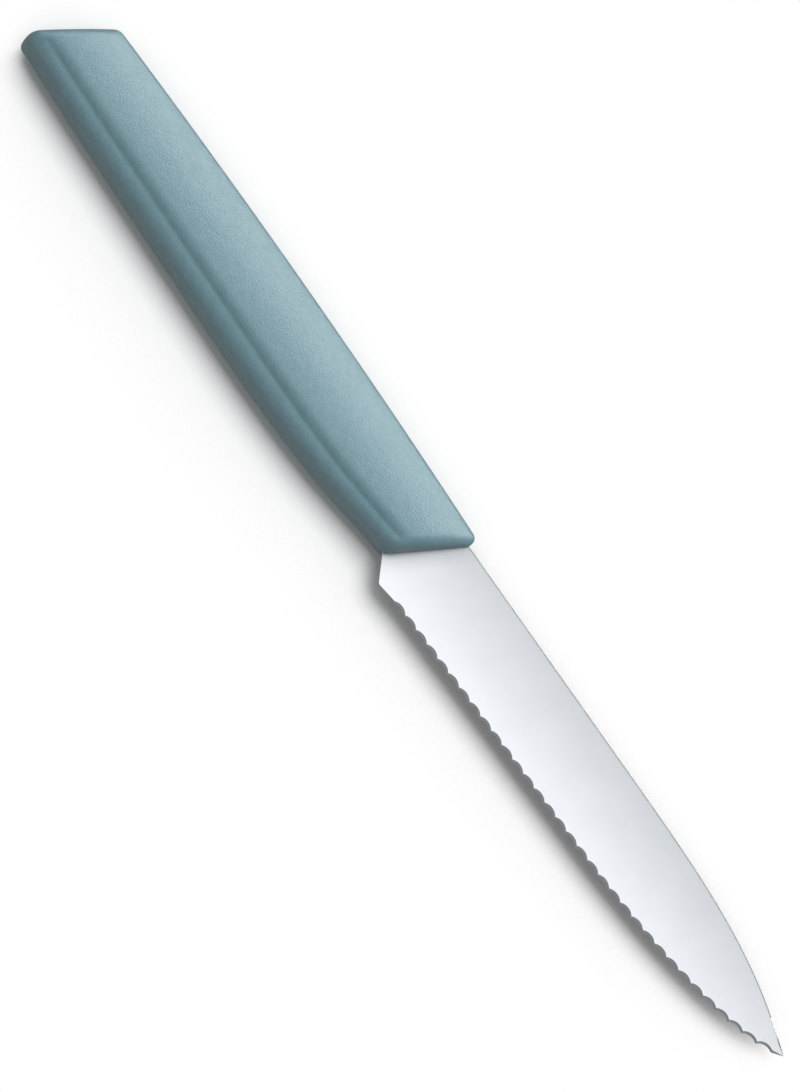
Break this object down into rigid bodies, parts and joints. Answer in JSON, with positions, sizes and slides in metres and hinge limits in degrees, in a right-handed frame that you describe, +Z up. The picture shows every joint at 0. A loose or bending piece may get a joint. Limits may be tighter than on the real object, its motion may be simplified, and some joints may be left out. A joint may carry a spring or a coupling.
{
  "type": "serrated paring knife",
  "caption": "Small kitchen knife with a pointed, scalloped cutting edge and a crowned plastic handle moulded round its tang, for fruit and vegetables.",
  "frame": {"origin": "Middle of the knife's footprint, on the table it lies on.", "axes": "+X runs from the handle to the point, +Y towards the spine, +Z up from the table. The knife rests on the flat of its handle, so the blade's plane is rolled 12 degrees about X and its plain right-hand face looks up."},
  "size_m": [0.2054, 0.0182, 0.012],
  "materials": {
    "satin_steel": "fine satin",
    "handle_plastic": "matte, finely grained"
  },
  "bodies": {
    "root": {"blade": "satin_steel", "handle": "handle_plastic"}
  },
  "joints": []
}
